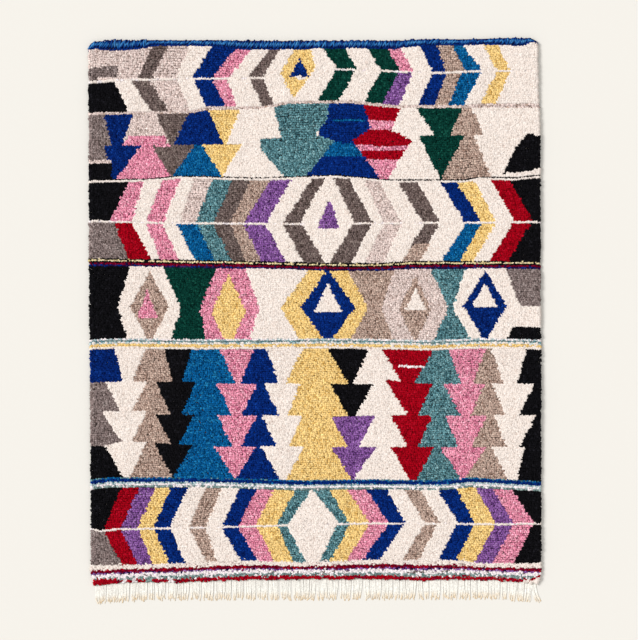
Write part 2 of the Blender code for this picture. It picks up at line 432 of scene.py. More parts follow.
def row_count(top, foot, row_pitch=KNOT_ROW_PIXELS):
    """How many rows lie between two lines, from their mean distance."""
    x = np.linspace(WEAVE_LEFT, WEAVE_RIGHT, 30)
    return max(1, round(float(np.mean(foot(x) - top(x))) / row_pitch))


# A stripe of a line: its yarn, its width in pixels, and a second yarn that breaks it up.
Stripe = namedtuple("Stripe", "yarn width other share", defaults=(None, 0.0))


def stripe_knots(top, stripes, foot=None, waver=0.0):
    """Knots in stripes that lie under each other, from a line down."""
    whole = sum(stripe.width for stripe in stripes)
    if foot is None:
        foot = beside(top, whole)
    rows = []
    done = 0.0
    for stripe in stripes:
        first, last = done / whole, (done + stripe.width) / whole
        done += stripe.width

        def upper(x, share=first):
            return top(x) + (foot(x) - top(x)) * share

        def lower(x, share=last):
            return top(x) + (foot(x) - top(x)) * share

        for _, x, y in rows_between(upper, lower, row_count(upper, lower, LINE_ROW_PIXELS),
                                    LINE_COLUMNS):
            yarn = np.full(len(x), YARN_NAMES.index(stripe.yarn))
            if stripe.other:
                swapped = draws.random(len(x)) < stripe.share
                yarn[swapped] = YARN_NAMES.index(stripe.other)
            y = y + draws.normal(0.0, waver, len(x))
            rows.append(Knots(x, y, yarn, np.full(len(x), LINE_DROP)))
    return rows


# A shape laid over the fields, by its corners in photo pixels.
Shape = namedtuple("Shape", "yarn corners")


def lozenge(x, y, half_wide, half_tall):
    """The corners of a lozenge about a middle."""
    return (x, y - half_tall), (x + half_wide, y), (x, y + half_tall), (x - half_wide, y)


def inside(corners, x, y):
    """True for the places that lie inside a closed shape."""
    found = np.zeros(len(x), bool)
    for (x0, y0), (x1, y1) in zip(corners, corners[1:] + corners[:1]):
        if y0 != y1:
            crossing = x0 + (y - y0) * (x1 - x0) / (y1 - y0)
            found ^= ((y0 > y) != (y1 > y)) & (x < crossing)
    return found


def lay_over(rows, shapes):
    """Gives the knots that lie inside each shape its yarn."""
    for row in rows:
        for shape in shapes:
            row.yarn[inside(shape.corners, row.x, row.y)] = YARN_NAMES.index(shape.yarn)
    return rows


def knot_object():
    """The one knot that the trees copy, a unit tall and wide, with its root at the origin."""
    turns = [2 * math.pi * side / KNOT_SIDES for side in range(KNOT_SIDES)]
    verts = [(0, 0, 0)]
    for ring in KNOT_RINGS:
        verts += [(math.cos(a) * ring.reach, math.sin(a) * ring.breadth, ring.height)
                  for a in turns]
    low, high = KNOT_RINGS

    def on_map(turn, reach):
        return 0.5 + math.cos(turn) * reach, 0.5 + math.sin(turn) * reach

    faces, spots = [], []
    for side in range(KNOT_SIDES):
        after = (side + 1) % KNOT_SIDES
        here, there = turns[side], turns[side] + 2 * math.pi / KNOT_SIDES
        faces.append((0, 1 + after, 1 + side))
        spots += [on_map((here + there) / 2, ROOT_MAP_REACH), on_map(there, low.map_reach),
                  on_map(here, low.map_reach)]
        faces.append((1 + side, 1 + after, 1 + KNOT_SIDES + after, 1 + KNOT_SIDES + side))
        spots += [on_map(here, low.map_reach), on_map(there, low.map_reach),
                  on_map(there, high.map_reach), on_map(here, high.map_reach)]
    faces.append(tuple(range(1 + KNOT_SIDES, 1 + 2 * KNOT_SIDES)))
    spots += [on_map(turn, high.map_reach) for turn in turns]
    mesh = bpy.data.meshes.new("knot")
    mesh.from_pydata(verts, [], faces)
    bake_map = mesh.uv_layers.new(name="OFBake")
    bake_map.data.foreach_set("uv", [n for spot in spots for n in spot])
    # The rise runs from 0 at the root to 1 at the cut end, and places the painted root shade.
    rise = mesh.attributes.new("rise", "FLOAT", "POINT")
    rise.data.foreach_set("value", [v[2] / high.height for v in verts])
    return link_piece("knot", mesh)


def new_tree(name, inputs):
    """A geometry tree with named inputs, and a function that gives a wire from each."""
    tree = bpy.data.node_groups.new(name, "GeometryNodeTree")
    tree.interface.new_socket("Places", in_out="INPUT", socket_type="NodeSocketGeometry")
    for label, kind in inputs:
        tree.interface.new_socket(label, in_out="INPUT", socket_type=kind)
    tree.interface.new_socket("Geometry", in_out="OUTPUT", socket_type="NodeSocketGeometry")
    source = tree.nodes.new("NodeGroupInput")
    return tree, lambda label: Wire(tree, source.outputs[label])


def named_value(tree, kind, label):
    return Wire.node(tree, "GeometryNodeInputNamedAttribute", {"data_type": kind}, {"Name": label})


def knot_tree():
    """Stands a copy of the knot on each place, turned, leant and stretched as the place says."""
    tree, given = new_tree("knots", (
        ("Knot", "NodeSocketObject"), ("Girth", "NodeSocketFloat"), ("Turn", "NodeSocketFloat"),
        ("Map Cell", "NodeSocketFloat"), ("Seed", "NodeSocketInt"),
        ("Wool", "NodeSocketMaterial")))
    knot = Wire.node(tree, "GeometryNodeObjectInfo", {}, {"Object": given("Knot")}, "Geometry")
    upright = Wire.node(tree, "FunctionNodeAlignRotationToVector", {"axis": "Z"},
                        {"Vector": named_value(tree, "FLOAT_VECTOR", "way")})
    turn = Wire.node(tree, "FunctionNodeRandomValue", {"data_type": "FLOAT"},
                     {2: given("Turn") * -1.0, 3: given("Turn"), "Seed": given("Seed")}, 1)
    about = Wire.node(tree, "FunctionNodeAxisAngleToRotation", {},
                      {"Axis": (0, 0, 1), "Angle": turn})
    stance = Wire.node(tree, "FunctionNodeRotateRotation", {"rotation_space": "LOCAL"},
                       {"Rotation": upright, "Rotate By": about})
    wide = named_value(tree, "FLOAT", "girth") * given("Girth")
    size = Wire.node(tree, "ShaderNodeCombineXYZ", {},
                     {0: wide, 1: wide, 2: named_value(tree, "FLOAT", "tall")})
    tufts = Wire.node(tree, "GeometryNodeInstanceOnPoints", {},
                      {"Points": given("Places"), "Instance": knot, "Rotation": stance,
                       "Scale": size})
    solid = Wire.node(tree, "GeometryNodeRealizeInstances", {}, {"Geometry": tufts})
    spot = Wire.node(tree, "ShaderNodeVectorMath", {"operation": "MULTIPLY_ADD"},
                     {0: named_value(tree, "FLOAT_VECTOR", "OFBake"),
                      1: Wire.node(tree, "ShaderNodeCombineXYZ", {},
                                   {0: given("Map Cell"), 1: given("Map Cell")}),
                      2: named_value(tree, "FLOAT_VECTOR", "cell")})
    mapped = Wire.node(tree, "GeometryNodeStoreNamedAttribute",
                       {"data_type": "FLOAT2", "domain": "CORNER"},
                       {"Geometry": solid, "Name": "OFBake", "Value": spot})
    smooth = Wire.node(tree, "GeometryNodeSetShadeSmooth", {}, {"Geometry": mapped})
    dressed = Wire.node(tree, "GeometryNodeSetMaterial", {},
                        {"Geometry": smooth, "Material": given("Wool")})
    sink = tree.nodes.new("NodeGroupOutput")
    tree.links.new(dressed.socket, sink.inputs[0])
    return tree


def grow(name, mesh, tree, values):
    """Runs a tree on a mesh of places, and keeps what it makes as the piece's plain mesh."""
    piece = link_piece(name, mesh)
    modifier = piece.modifiers.new("grow", "NODES")
    modifier.node_group = tree
    for item in tree.interface.items_tree:
        if item.name in values:
            modifier[item.identifier] = values[item.name]
    graph = bpy.context.evaluated_depsgraph_get()
    made = bpy.data.meshes.new_from_object(
        piece.evaluated_get(graph), preserve_all_data_layers=True, depsgraph=graph)
    piece.modifiers.clear()
    piece.data = made
    made.name = name
    for label in ("way", "tall", "girth", "cell", "radius"):
        if label in made.attributes:
            made.attributes.remove(made.attributes[label])
    return piece


def wool_material():
    """Matt wool: the yarn's own colour, uneven along its fibres, with shade painted in darker down
    at the roots.
    """
    material, tree, shader = plain_material("knotted_wool", (0.8, 0.7, 0.6), 0.95)
    shader.inputs["Specular IOR Level"].default_value = 0.04
    yarn = Wire.node(tree, "ShaderNodeAttribute", {"attribute_name": "yarn"}, {}, "Color")
    rise = Wire.node(tree, "ShaderNodeAttribute", {"attribute_name": "rise"}, {}, "Fac")
    root = Wire.node(tree, "ShaderNodeAttribute", {"attribute_name": "root"}, {}, "Fac")
    place = Wire.node(tree, "ShaderNodeTexCoord", {}, {}, "Object")
    fleck = Wire.node(tree, "ShaderNodeAttribute", {"attribute_name": "fleck"}, {}, "Fac")
    fuzz = Wire.node(tree, "ShaderNodeTexNoise", {},
                     {"Vector": place, "Scale": WOOL_FUZZ_SCALE, "Detail": 2.0,
                      "Roughness": 0.65})
    # Painted shade: the colour darkens from the belly down to the root, less for yarns with a
    # higher root value.
    depth = (1.0 - rise) * (1.0 / (1.0 - KNOT_RINGS[0].height))
    shaded = 1.0 - depth * (1.0 - root) * PAINTED_ROOT_SHADE
    tone = shaded * (1.0 + fleck * (fuzz - 0.5) * FLECK_CONTRAST)
    colour = Wire.node(tree, "ShaderNodeVectorMath", {"operation": "SCALE"},
                       {0: yarn, "Scale": tone})
    tree.links.new(colour.socket, shader.inputs["Base Color"])
    bump = Wire.node(tree, "ShaderNodeBump", {},
                     {"Strength": 0.5, "Distance": 0.0012, "Height": fuzz})
    tree.links.new(bump.socket, shader.inputs["Normal"])
    return material


def of_yarn(label, yarn):
    """One of the yarns' values, for each of many knots."""
    return np.array([getattr(YARNS[name], label) for name in YARN_NAMES])[yarn]


def wool_tones(yarn):
    """The colour of each knot: its yarn's usual tone, or part of the way to another."""
    table = np.array([[linear(c) for c in YARNS[name][:3]] for name in YARN_NAMES])
    darker, lighter = of_yarn("darker", yarn), of_yarn("lighter", yarn)
    usual, dark, light = (table[yarn, tone] for tone in range(3))
    pick = draws.random(len(yarn))
    reach = draws.uniform(*TONE_REACH, len(yarn))[:, None]
    colour = np.where((pick < darker)[:, None], usual + (dark - usual) * reach, usual)
    colour = np.where((pick > 1 - lighter)[:, None], usual + (light - usual) * reach, colour)
    stray = TONE_STRAY * of_yarn("loose", yarn) * draws.normal(0, 1, len(yarn))
    return colour * (1.0 + stray)[:, None]


the_knot = knot_object()
knots_tree = knot_tree()
knotted_wool = wool_material()


def tie(name, rows, seed):
    """Ties rows of knots into one piece of pile, with its tips at the height of the solid."""
    x, y = across(np.concatenate([r.x for r in rows])), along(np.concatenate([r.y for r in rows]))
    yarn = np.concatenate([r.yarn for r in rows])
    drop = np.concatenate([r.drop for r in rows])
    side = np.concatenate([np.where(np.arange(len(r.x)) < SIDE_COLUMNS, -1.0, np.where(
        np.arange(len(r.x)) >= len(r.x) - SIDE_COLUMNS, 1.0, 0.0)) for r in rows])
    y = y - CROWN_LEAD + draws.uniform(-ROW_STRAY, ROW_STRAY, len(y)) * KNOT_ROW_PIXELS * PIXEL
    tops = [pile_top(*place) for place in zip(x - side * SIDE_FULL_REACH, y)]
    kept = np.array([top is not None for top in tops])
    top = np.array([0.0 if t is None else t for t in tops])
    x, y, yarn, drop, side, top = (a[kept] for a in (x, y, yarn, drop, side, top))
    loose = of_yarn("loose", yarn)
    top = top - drop + draws.uniform(LOWEST_STRAY, HIGHEST_STRAY, len(x)) * loose
    lean = np.stack([side * SIDE_LEAN, np.where(side == 0, PILE_LEAN, SIDE_PILE_LEAN),
                     np.ones(len(x))], axis=1)
    lean[:, :2] += draws.normal(0.0, LEAN_STRAY, (len(x), 2)) * loose[:, None]
    rise = np.maximum(top - WEAVE_TOP, KNOT_SHORTEST)
    tall = rise * np.linalg.norm(lean, axis=1) / KNOT_RINGS[-1].height
    root = np.stack([x, y, top], axis=1) - lean * rise[:, None]
    mesh = bpy.data.meshes.new(name + "_places")
    mesh.vertices.add(len(x))
    mesh.vertices.foreach_set("co", root.ravel())
    cells = math.ceil(math.sqrt(len(x)))
    number = np.arange(len(x))
    cell = np.stack([number % cells, number // cells, np.zeros(len(x))], axis=1) / cells
    shade = np.column_stack([np.clip(wool_tones(yarn), 0, BRIGHTEST), np.ones(len(x))])
    girth = draws.uniform(THINNEST, THICKEST, len(x)) + FULLER * (1 - loose)
    # Each knot carries its colour, its flecks and how much painted root shade it takes.
    for label, kind, slot, values in (
            ("way", "FLOAT_VECTOR", "vector", lean), ("cell", "FLOAT_VECTOR", "vector", cell),
            ("tall", "FLOAT", "value", tall), ("yarn", "FLOAT_COLOR", "color", shade),
            ("girth", "FLOAT", "value", girth),
            ("fleck", "FLOAT", "value", of_yarn("fleck", yarn)),
            ("root", "FLOAT", "value", of_yarn("root", yarn))):
        mesh.attributes.new(label, kind, "POINT").data.foreach_set(slot, values.ravel())
    piece = grow(name, mesh, knots_tree, {
        "Knot": the_knot, "Girth": KNOT_GIRTH, "Turn": KNOT_TURN, "Map Cell": 1 / cells,
        "Seed": seed, "Wool": knotted_wool})
    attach(piece, "root")
    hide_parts("rug")
    return piece


STRIPES_TOP = line((90, 565), (150, 564), (200, 562), (250, 560), (300, 562), (385, 559),
                   (460, 560), (480, 563), (541, 563))
END_STRIPES = (
    Stripe("cream", 4.2, "light beige", 0.3), Stripe("wine", 2.8, "red", 0.2),
    Stripe("purple", 1.5, "plum", 0.25), Stripe("white", 3.2, "grey", 0.12),
    Stripe("sea green", 2.6, "white", 0.2), Stripe("red", 2.3, "wine", 0.2),
)
PILE_FOOT = line((89, 584.8), (96, 584.8), (102, 583.6), (113, 582.4), (125, 581.8), (152, 581.4),
                 (182, 581), (213, 579.8), (244, 578.7), (295, 578.3), (318, 577.8), (340, 578.6),
                 (362, 577.8), (395, 578.7), (427, 580), (438, 578.8), (488, 578.8), (499, 579.2),
                 (516, 580.9), (525, 581.4), (537, 582.4), (541, 582))
END_STRIPES_RISE = 0.7
END_STRIPES_WAVER = 0.55
END_SHAPES = (
    Shape("red", ((85, 579), (117, 578), (120, 590), (85, 590))),
    Shape("white", ((123, 578), (127, 578), (127, 584), (123, 584))),
    Shape("white", ((132, 578), (136, 578), (136, 584), (132, 584))),
    Shape("sea green", ((147, 577), (152, 577), (152, 584), (147, 584))),
    Shape("white", ((169, 577), (173, 577), (173, 584), (169, 584))),
    Shape("cream", ((523, 580), (541, 577), (545, 590), (523, 590))),
    Shape("red", ((529, 579), (541, 574), (541, 577), (531, 580))),
)
tie("pile_end_stripes", lay_over(
    stripe_knots(STRIPES_TOP, END_STRIPES, beside(PILE_FOOT, -END_STRIPES_RISE),
                 END_STRIPES_WAVER), END_SHAPES), 1)

# Low chevrons
# The first patterned band: slanting stripes of dyed and undyed wool, tied in rows of knots, that
# turn at a thin cream line half way up. A lozenge lies open where the band's halves mirror.
LINE_5_6 = line((92, 482), (110, 480), (200, 480), (300, 483), (360, 482), (440, 483),
                (470, 480), (540, 484))
LINE_5_6_RISE = 3.2
LINE_5_6_STRIPES = (
    Stripe("blue", 1.3, "teal", 0.35), Stripe("navy", 3.3, "blue", 0.10),
    Stripe("pale teal", 1.7, "teal", 0.2), Stripe("white", 1.9, "pale teal", 0.2),
    Stripe("sea green", 1.9, "white", 0.25),
)
LOW_MIDDLE = line((90, 528), (100, 531), (120, 529), (210, 527), (365, 523), (500, 524),
                  (541, 523))

# A field of a tier lies to the right of the last one. It has a yarn, and the whole pixels at
# which its right-hand edge starts at the tier's top and ends at its foot. The edge between them
# is straight, as knots are counted off.
Field = namedtuple("Field", "yarn top foot")
Tier = namedtuple("Tier", "top foot fields")
EDGE_WAVER = 0.5
PAST_SIDE = 600


def tier_knots(tier, shapes=()):
    """Knots of one tier of a band: rows that follow its top and foot, coloured by its fields."""
    rows = []
    names = np.array([YARN_NAMES.index(field.yarn) for field in tier.fields])
    for share, x, y in rows_between(tier.top, tier.foot, row_count(tier.top, tier.foot)):
        edges = np.array([f.top + (f.foot - f.top) * share for f in tier.fields])
        edges += draws.uniform(-EDGE_WAVER, EDGE_WAVER, len(edges))
        yarn = names[np.minimum(np.searchsorted(edges, x), len(edges) - 1)]
        rows.append(Knots(x, y, yarn, np.zeros(len(x))))
    return lay_over(rows, shapes)


LOW_UPPER = Tier(beside(LINE_5_6, 7.0), beside(LOW_MIDDLE, -0.9), (
    Field("black", 122, 104), Field("red", 140, 120), Field("purple", 156, 138),
    Field("yellow", 171, 154), Field("navy", 189, 170), Field("cream", 206, 189),
    Field("tan", 223, 206), Field("cream", 240, 222), Field("navy", 257, 238),
    Field("pink", 274, 256), Field("yellow", 295, 277), Field("teal", 312, 288),
    Field("cream", 314, 338), Field("teal", 329, 350), Field("yellow", 348, 369),
    Field("pink", 367, 389), Field("navy", 387, 406), Field("cream", 404, 424),
    Field("tan", 421, 440), Field("cream", 437, 458), Field("navy", 456, 475),
    Field("yellow", 476, 496), Field("purple", 493, 514), Field("pink", 512, 534),
    Field("black", PAST_SIDE, PAST_SIDE),
))
LOW_LOWER = Tier(beside(LOW_MIDDLE, 0.9), STRIPES_TOP, (
    Field("grey", 105, 122), Field("red", 121, 138), Field("purple", 139, 154),
    Field("yellow", 155, 170), Field("navy", 171, 186), Field("cream", 190, 206),
    Field("tan", 206, 218), Field("cream", 222, 241), Field("navy", 238, 258),
    Field("pink", 257, 275), Field("yellow", 278, 294), Field("teal", 288, 307),
    Field("cream", 336, 320), Field("teal", 350, 330), Field("yellow", 369, 346),
    Field("pink", 388, 363), Field("navy", 405, 380), Field("cream", 424, 402),
    Field("tan", 438, 419), Field("cream", 456, 438), Field("navy", 474, 456),
    Field("yellow", 495, 474), Field("purple", 513, 492), Field("pink", 533, 514),
    Field("black", PAST_SIDE, PAST_SIDE),
))
LOW_MIDDLE_STRIPES = (Stripe("cream", 1.8, "white", 0.3),)
tie("pile_low_chevrons",
    stripe_knots(beside(LINE_5_6, -LINE_5_6_RISE), LINE_5_6_STRIPES)
    + tier_knots(LOW_UPPER)
    + stripe_knots(beside(LOW_MIDDLE, -0.9), LOW_MIDDLE_STRIPES)
    + tier_knots(LOW_LOWER), 2)

# Trees
# The deepest band: columns of stacked cups in four tiers, each a tree or the ground between two.
# It is tied in two halves, as the weaver rolls the finished cloth down half way.
LINE_4_5 = line((90, 342), (120, 341), (200, 342), (330, 341), (390, 342), (430, 343),
                (480, 341), (540, 342))
LINE_4_5_RISE = 3.0
LINE_4_5_STRIPES = (
    Stripe("pale teal", 1.6, "white", 0.5), Stripe("sea green", 2.2, "teal", 0.35),
    Stripe("pale teal", 1.3, "cream", 0.5), Stripe("yellow", 3.6, "cream", 0.06),
    Stripe("cream", 1.2, "light beige", 0.25),
)
TREE_TOP = beside(LINE_4_5, 7.2)
TREE_1_2 = line((90, 382), (200, 381), (216, 383), (375, 384), (388, 379), (410, 383),
                (540, 384))
TREE_2_3 = line((90, 411), (148, 411), (155, 414), (330, 416), (388, 415), (540, 415))
TREE_3_4 = line((90, 445), (104, 446), (123, 441), (147, 442), (213, 446), (540, 447))
TREE_FOOT = beside(LINE_5_6, -LINE_5_6_RISE)

# The yarn of each column, left to right, and its right-hand edge in each of the four tiers.
TreeColumn = namedtuple("TreeColumn", "yarns first second third fourth")
TREE_COLUMNS = (
    TreeColumn(("royal", "grey", "grey", "black"), (115, 124), (106, 120), (103, 123), (105, 123)),
    TreeColumn(("cream",) * 4, (146, 132), (147, 132), (147, 131), (146, 130)),
    TreeColumn(("tan",) * 4, (164, 174), (156, 171), (156, 172), (155, 173)),
    TreeColumn(("black",) * 4, (192, 182), (197, 181), (194, 179), (193, 173)),
    TreeColumn(("blue",) * 4, (220, 236), (217, 232), (218, 232), (214, 234)),
    TreeColumn(("pink",) * 4, (254, 241), (258, 242), (257, 241), (257, 236)),
    TreeColumn(("navy",) * 4, (267, 279), (264, 280), (262, 277), (261, 280)),
    TreeColumn(("cream",) * 4, (303, 285), (300, 288), (303, 288), (304, 286)),
    TreeColumn(("yellow",) * 4, (328, 349), (331, 348), (331, 348), (331, 352)),
    TreeColumn(("black", "black", "purple", "purple"),
               (369, 353), (374, 356), (376, 359), (377, 354)),
    TreeColumn(("cream",) * 4, (381, 401), (384, 408), (391, 407), (390, 410)),
    TreeColumn(("red",) * 4, (433, 414), (432, 418), (432, 418), (434, 416)),
    TreeColumn(("teal",) * 4, (449, 461), (444, 461), (445, 458), (440, 461)),
    TreeColumn(("pink",) * 4, (485, 473), (484, 471), (487, 471), (486, 465)),
    TreeColumn(("tan",) * 4, (491, 504), (493, 506), (494, 507), (492, 508)),
    TreeColumn(("cream",) * 4, (526, 517), (534, 518), (536, 519), (524, 517)),
    TreeColumn(("black",) * 4, *[(PAST_SIDE, PAST_SIDE)] * 4),
)
# A thin white thread lies across the uppermost red cup.
TREE_THREAD = (Shape("white", ((398, 365), (424, 365), (424, 367), (398, 367))),)


def tree_tier(number, top, foot):
    """One of the four tiers of the trees, counted down from 0."""
    fields = [Field(column.yarns[number], *column[number + 1]) for column in TREE_COLUMNS]
    return Tier(top, foot, fields)


tie("pile_trees_lower", tier_knots(tree_tier(2, TREE_2_3, TREE_3_4))
    + tier_knots(tree_tier(3, TREE_3_4, TREE_FOOT)), 3)
tie("pile_trees_upper", stripe_knots(beside(LINE_4_5, -LINE_4_5_RISE), LINE_4_5_STRIPES)
    + tier_knots(tree_tier(0, TREE_TOP, TREE_1_2), TREE_THREAD)
    + tier_knots(tree_tier(1, TREE_1_2, TREE_2_3)), 4)

# Lozenges
# A band of large open lozenges, each with a smaller one of another wool inside it.
# The inner figures lie over the fields of the band's two tiers.
LINE_3_4 = line((90, 260), (250, 263), (330, 265), (383, 265), (410, 263), (540, 263))
LINE_3_4_RISE = 2.4
LINE_3_4_STRIPES = (
    Stripe("black", 1.4, "straw", 0.05), Stripe("straw", 1.6, "black", 0.12),
    Stripe("black", 1.3, "wine", 0.1), Stripe("wine", 1.7, "plum", 0.1),
    Stripe("plum", 1.9, "navy", 0.3),
)
LOZENGE_TOP = beside(LINE_3_4, 5.5)
LOZENGE_MIDDLE = line((90, 308), (400, 308), (541, 306))
LOZENGE_FOOT = beside(LINE_4_5, -LINE_4_5_RISE)
LOZENGE_UPPER = Tier(LOZENGE_TOP, LOZENGE_MIDDLE, (
    Field("black", 130, 118), Field("cream", 163, 181), Field("green", 217, 200),
    Field("pink", 246, 260), Field("cream", 308, 281), Field("yellow", 348, 368),
    Field("tan", 395, 381), Field("light beige", 430, 448), Field("teal", 466, 453),
    Field("cream", 506, 520), Field("grey", PAST_SIDE, PAST_SIDE),
))
LOZENGE_LOWER = Tier(LOZENGE_MIDDLE, LOZENGE_FOOT, (
    Field("black", 118, 128), Field("cream", 181, 171), Field("green", 200, 206),
    Field("pink", 260, 250), Field("cream", 281, 298), Field("yellow", 368, 351),
    Field("tan", 381, 394), Field("light beige", 448, 434), Field("teal", 453, 471),
    Field("cream", PAST_SIDE, PAST_SIDE),
))
LOZENGE_SHAPES = (
    Shape("tan", lozenge(150, 307, 20, 36)),
    Shape("pink", ((147, 289), (158, 317), (138, 317))),
    Shape("yellow", lozenge(229, 311, 17, 38)),
    Shape("navy", lozenge(328, 307, 27, 38)),
    Shape("cream", ((328, 284), (341, 311), (315, 311))),
    Shape("tan", lozenge(415, 309, 16, 34)),
    Shape("cream", ((416, 289), (426, 309), (406, 309))),
    Shape("royal", lozenge(485, 306, 22, 36)),
    Shape("cream", ((485, 283), (497, 306), (472, 306))),
    Shape("black", ((505, 341), (513, 326), (545, 326), (545, 341))),
)
tie("pile_lozenges",
    stripe_knots(beside(LINE_3_4, -LINE_3_4_RISE), LINE_3_4_STRIPES)
    + tier_knots(LOZENGE_UPPER, LOZENGE_SHAPES)
    + tier_knots(LOZENGE_LOWER, LOZENGE_SHAPES), 5)

# Middle chevrons
# The same slanting stripes of knots as in the low band, in other wools, about a small purple
# tent. A thin black line is worked over it, under the triangles.
LINE_2_3 = line((90, 180), (150, 179), (180, 176), (260, 178), (335, 175), (390, 180),
                (465, 180), (480, 177), (515, 178), (540, 175))
LINE_2_3_RISE = 0.9
LINE_2_3_STRIPES = (Stripe("black", 1.8, "taupe", 0.06), Stripe("cream", 1.5))
MIDDLE_MIDDLE = line((90, 221), (165, 223), (300, 224), (400, 223), (541, 222))
MIDDLE_FOOT = beside(LINE_3_4, -LINE_3_4_RISE)
MIDDLE_UPPER = Tier(beside(LINE_2_3, 2.4), beside(MIDDLE_MIDDLE, -1.0), (
    Field("black", 129, 110), Field("pink", 144, 132), Field("cream", 162, 146),
    Field("pink", 181, 164), Field("cream", 194, 180), Field("light beige", 212, 196),
    Field("teal", 233, 214), Field("taupe", 251, 230), Field("tan", 270, 244),
    Field("purple", 292, 267), Field("cream", 312, 283), Field("taupe", 326, 300),
    Field("cream", 333, 354), Field("taupe", 350, 373), Field("cream", 364, 383),
    Field("light beige", 380, 402), Field("cream", 398, 422), Field("taupe", 418, 440),
    Field("cream", 440, 464), Field("navy", 456, 482), Field("yellow", 474, 496),
    Field("cream", 491, 514), Field("red", 510, 533), Field("black", PAST_SIDE, PAST_SIDE),
))
MIDDLE_LOWER = Tier(beside(MIDDLE_MIDDLE, 1.0), MIDDLE_FOOT, (
    Field("grey", 115, 128), Field("red", 132, 152), Field("cream", 146, 160),
    Field("pink", 164, 179), Field("cream", 177, 194), Field("blue", 198, 214),
    Field("teal", 214, 232), Field("taupe", 230, 246), Field("tan", 244, 261),
    Field("purple", 266, 287), Field("cream", 283, 303), Field("taupe", 302, 326),
    Field("cream", 352, 330), Field("taupe", 372, 352), Field("cream", 384, 364),
    Field("light beige", 402, 384), Field("cream", 424, 402), Field("taupe", 439, 420),
    Field("cream", 466, 441), Field("blue", 481, 460), Field("yellow", 496, 474),
    Field("cream", 512, 490), Field("red", 531, 508), Field("black", PAST_SIDE, PAST_SIDE),
))
MIDDLE_SHAPES = (
    Shape("purple", ((330, 197), (340, 228), (317, 228))),
    Shape("tan", ((414, 243), (431, 243), (420, 262), (401, 262))),
)
MIDDLE_STRIPES = (Stripe("cream", 2.0, "white", 0.3),)
tie("pile_middle_chevrons",
    stripe_knots(beside(LINE_2_3, -LINE_2_3_RISE), LINE_2_3_STRIPES)
    + tier_knots(MIDDLE_UPPER, MIDDLE_SHAPES)
    + lay_over(stripe_knots(beside(MIDDLE_MIDDLE, -1.0), MIDDLE_STRIPES), MIDDLE_SHAPES)
    + tier_knots(MIDDLE_LOWER, MIDDLE_SHAPES), 6)

# Triangles
# Two tiers of triangles of knots that stand on each other's points, with a large teal figure
# and a striped red and pink one in the middle. A beige line is worked over them.
LINE_1_2 = line((90, 112), (190, 111), (206, 106), (262, 106), (290, 101), (350, 100),
                (395, 105), (462, 105), (480, 103), (540, 103))
TRIANGLE_TOP = line((90, 115), (190, 113), (208, 110), (262, 109), (290, 103), (350, 103),
                    (395, 108), (540, 108))
TRIANGLE_MIDDLE = line((90, 146), (240, 144), (430, 135), (540, 135))
TRIANGLE_FOOT = beside(LINE_2_3, -LINE_2_3_RISE)
TRIANGLE_UPPER = Tier(TRIANGLE_TOP, TRIANGLE_MIDDLE, (
    Field("grey", 104, 112), Field("royal", 133, 122), Field("light beige", 156, 170),
    Field("taupe", 189, 174), Field("navy", 208, 224), Field("yellow", 240, 227),
    Field("cream", 416, 434), Field("green", 462, 450), Field("tan", 472, 484),
    Field("cream", PAST_SIDE, PAST_SIDE),
))
TRIANGLE_LOWER = Tier(TRIANGLE_MIDDLE, TRIANGLE_FOOT, (
    Field("grey", 104, 112), Field("royal", 141, 116), Field("pink", 152, 171),
    Field("taupe", 196, 172), Field("blue", 202, 222), Field("yellow", 243, 222),
    Field("cream", 419, 440), Field("green", 465, 440), Field("tan", 474, 491),
    Field("cream", PAST_SIDE, PAST_SIDE),
))
RED_FIGURE = ((362, 100), (371, 128), (352, 140), (385, 184), (412, 140), (392, 130), (402, 104))
# The foot of each stripe of that figure, down to the last.
RED_FIGURE_STRIPES = (("red", 120), ("pink", 130), ("red", 145), ("pink", 150), ("red", 158),
                      ("pink", 184))
TRIANGLE_SHAPES = (
    Shape("pink", ((130, 136), (165, 136), (170, 146), (120, 146))),
    Shape("light beige", ((85, 160), (111, 160), (111, 163), (85, 163))),
    Shape("black", ((85, 163), (112, 163), (112, 181), (85, 181))),
    Shape("navy", ((318, 100), (366, 100), (375, 150), (390, 184), (300, 184), (320, 150))),
    Shape("blue", ((328, 118), (366, 120), (366, 122), (328, 120))),
    Shape("blue", ((325, 142), (352, 142), (370, 156), (310, 157))),
    Shape("teal", ((272, 100), (281, 137), (260, 139), (260, 149), (287, 180), (303, 180),
                   (335, 140), (316, 134), (328, 118), (328, 100))),
    Shape("black", ((529, 133), (545, 136), (545, 168), (503, 174), (516, 146))),
)


def stripe_figure(rows, outline, stripes):
    """Gives the knots inside an outline the yarns of its stripes, each down to its own foot."""
    for row in rows:
        held = inside(outline, row.x, row.y)
        for yarn, foot in reversed(stripes):
            row.yarn[held & (row.y < foot)] = YARN_NAMES.index(yarn)
    return rows


triangle_rows = tier_knots(TRIANGLE_UPPER, TRIANGLE_SHAPES)
triangle_rows += tier_knots(TRIANGLE_LOWER, TRIANGLE_SHAPES)
LINE_1_2_STRIPES = (Stripe("light beige", 2.8, "tan", 0.14),)
tie("pile_triangles",
    stripe_knots(LINE_1_2, LINE_1_2_STRIPES, TRIANGLE_TOP)
    + stripe_figure(triangle_rows, RED_FIGURE, RED_FIGURE_STRIPES), 7)

